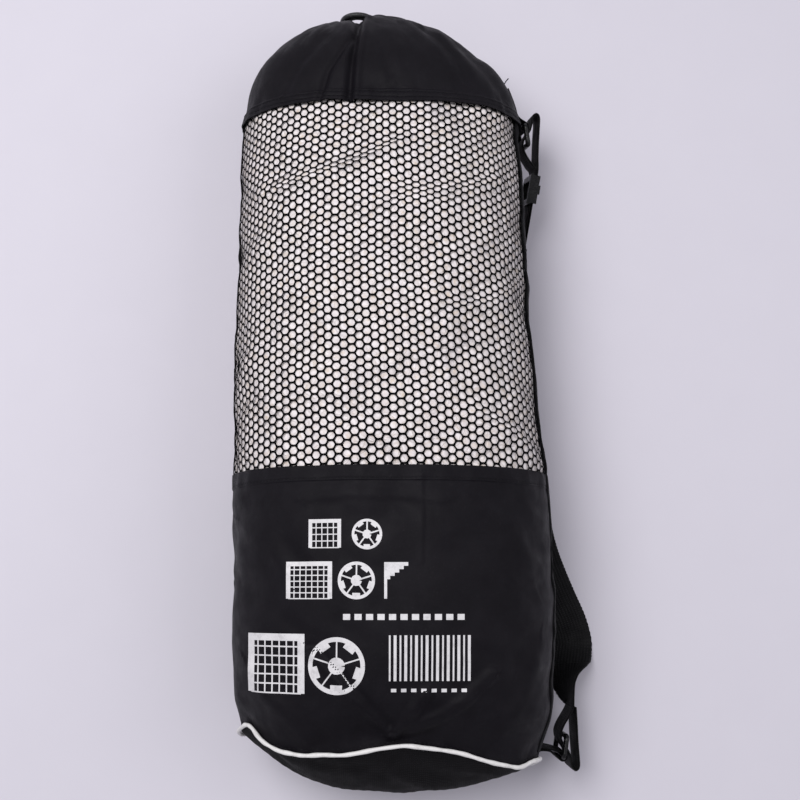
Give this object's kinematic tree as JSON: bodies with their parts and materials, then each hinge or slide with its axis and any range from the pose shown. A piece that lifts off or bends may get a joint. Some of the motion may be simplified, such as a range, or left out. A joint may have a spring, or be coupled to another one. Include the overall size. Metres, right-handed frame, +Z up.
{
  "type": "mesh ball bag",
  "caption": "Drawstring carry bag with a hexagonal mesh body, solid collar and base, side shoulder strap and cord lock, filled with a folded goal net.",
  "frame": {"origin": "middle of the flat underside, on the floor, with the bag lying on its back", "axes": "+Y from the base to the gathered mouth, +Z up, +X towards the strap"},
  "size_m": [0.3183, 0.6929, 0.186],
  "materials": {
    "net_twine": "white twisted polyethylene twine with dirty knots, matte",
    "mesh_cloth": "black knitted hexagonal polyester mesh, satin",
    "nylon_cloth": "black coated nylon, fine plain weave, slightly bluish sheen",
    "base_cloth": "black ribbed nylon, dull",
    "piping": "off-white piping cloth, satin",
    "webbing": "black woven polypropylene webbing, low sheen",
    "braided_cord": "black braided polyester cord with light flecks",
    "black_plastic": "black moulded acetal, glossy",
    "spring_steel": "bright spring wire"
  },
  "bodies": {
    "bag": {"folded_net": "net_twine", "mesh_panel": "mesh_cloth", "top_collar": "nylon_cloth", "lower_panel": "nylon_cloth", "base_panel": "base_cloth", "base_piping": "piping", "side_seam_binding": "nylon_cloth", "drawcord_channel": "nylon_cloth", "cord_eyelet": "black_plastic", "channel_cord": "braided_cord", "cord_strand_a": "braided_cord", "cord_strand_b": "braided_cord", "cord_coil": "braided_cord", "cord_knot": "braided_cord", "upper_tab": "webbing", "strap_upper_loop": "webbing", "strap_tail_hem": "webbing", "strap_upper_run": "webbing", "strap_lower_run": "webbing", "strap_lower_loop": "webbing", "lower_tab": "webbing"},
    "strap": {"shoulder_strap": "webbing"},
    "ring_upper": {"upper_ring": "black_plastic"},
    "ring_lower": {"lower_ring": "black_plastic"},
    "adjuster": {"strap_adjuster": "black_plastic"},
    "cord_lock": {"cord_lock_barrel": "black_plastic", "cord_lock_spring": "spring_steel"},
    "lock_button": {"cord_lock_button": "black_plastic"}
  },
  "joints": [
    {"name": "strap_swing", "type": "hinge", "parent": "bag", "child": "strap", "pos_m": [0.117, -0.15, 0.034], "axis": [0, -1, 0], "range_deg": [0, 80]},
    {"name": "upper_ring_swing", "type": "hinge", "parent": "bag", "child": "ring_upper", "pos_m": [0.121, 0.258, 0.062], "axis": [0, -0.2588, 0.9659], "range_deg": [-2, 18]},
    {"name": "lower_ring_swing", "type": "hinge", "parent": "bag", "child": "ring_lower", "pos_m": [0.143, -0.298, 0.037], "axis": [0, 0, -1], "range_deg": [-2, 18]},
    {"name": "adjuster_slide", "type": "slide", "parent": "bag", "child": "adjuster", "axis": [0.1564, 0.954, 0.2556], "range_m": [-0.045, 0.002]},
    {"name": "cord_lock_slide", "type": "slide", "parent": "bag", "child": "cord_lock", "axis": [0, 0, 1], "range_m": [-0.022, 0.008]},
    {"name": "lock_button_press", "type": "slide", "parent": "cord_lock", "child": "lock_button", "axis": [-1, 0, 0], "range_m": [0, 0.003], "stiffness_N_per_m": 300, "springref_m": -0.003, "deforming": ["cord_lock_spring"]}
  ]
}
